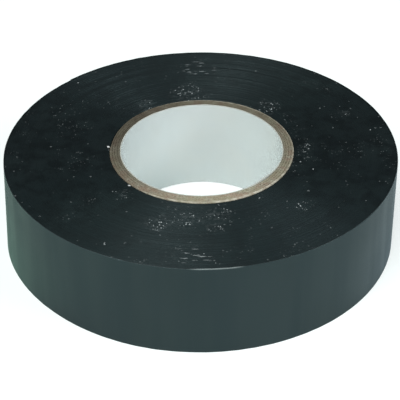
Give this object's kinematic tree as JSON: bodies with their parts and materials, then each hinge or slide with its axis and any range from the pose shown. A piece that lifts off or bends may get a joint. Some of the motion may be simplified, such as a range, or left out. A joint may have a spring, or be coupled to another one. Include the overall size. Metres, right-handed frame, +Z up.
{
  "type": "electrical tape roll",
  "caption": "Roll of dark PVC electrical tape wound on a lined paperboard core, with a loose tail that lifts and uncurls.",
  "frame": {"origin": "centre of the flat face that the roll lies on", "axes": "+Z up along the roll's axis; the loose tail is on the +Y side and ends at 135 degrees about +Z from +X"},
  "size_m": [0.0765, 0.0767, 0.019],
  "materials": {
    "liner_paper": "satin",
    "kraft_board": "matte",
    "wound_tape": "satin",
    "tape_film": "satin",
    "tape_adhesive": "matte"
  },
  "bodies": {
    "roll": {"core_liner": "liner_paper", "core_ply_1": "kraft_board", "core_ply_2": "kraft_board", "core_ply_3": "kraft_board", "core_ply_4": "kraft_board", "tape_pack": "wound_tape", "outer_wrap_film": "tape_film", "outer_wrap_adhesive": "tape_adhesive"},
    "tail_1": {"tail_film_1": "tape_film", "tail_adhesive_1": "tape_adhesive"},
    "tail_2": {"tail_film_2": "tape_film", "tail_adhesive_2": "tape_adhesive"},
    "tail_3": {"tail_film_3": "tape_film", "tail_adhesive_3": "tape_adhesive"},
    "tail_4": {"tail_film_4": "tape_film", "tail_adhesive_4": "tape_adhesive"},
    "tail_5": {"tail_film_5": "tape_film", "tail_adhesive_5": "tape_adhesive"},
    "tail_6": {"tail_film_6": "tape_film", "tail_adhesive_6": "tape_adhesive"}
  },
  "joints": [
    {"name": "tail_lift", "type": "hinge", "parent": "roll", "child": "tail_1", "pos_m": [0.02712, 0.02712, 0.0095], "axis": [0, 0, -1], "range_deg": [0, 150]},
    {"name": "tail_uncurl_1", "type": "hinge", "parent": "tail_1", "child": "tail_2", "pos_m": [0.01918, 0.03322, 0.0095], "axis": [0, 0, -1], "range_deg": [0, 15]},
    {"name": "tail_uncurl_2", "type": "hinge", "parent": "tail_2", "child": "tail_3", "pos_m": [0.00993, 0.03706, 0.0095], "axis": [0, 0, -1], "range_deg": [0, 15]},
    {"name": "tail_uncurl_3", "type": "hinge", "parent": "tail_3", "child": "tail_4", "pos_m": [0, 0.03838, 0.0095], "axis": [0, 0, -1], "range_deg": [0, 15]},
    {"name": "tail_uncurl_4", "type": "hinge", "parent": "tail_4", "child": "tail_5", "pos_m": [-0.00993, 0.03708, 0.0095], "axis": [0, 0, -1], "range_deg": [0, 15]},
    {"name": "tail_uncurl_5", "type": "hinge", "parent": "tail_5", "child": "tail_6", "pos_m": [-0.0192, 0.03325, 0.0095], "axis": [0, 0, -1], "range_deg": [0, 15]}
  ],
  "couplings": [
    {"joint": "tail_uncurl_2", "follows": "tail_uncurl_1", "ratio": 1},
    {"joint": "tail_uncurl_3", "follows": "tail_uncurl_1", "ratio": 1},
    {"joint": "tail_uncurl_4", "follows": "tail_uncurl_1", "ratio": 1},
    {"joint": "tail_uncurl_5", "follows": "tail_uncurl_1", "ratio": 1}
  ]
}
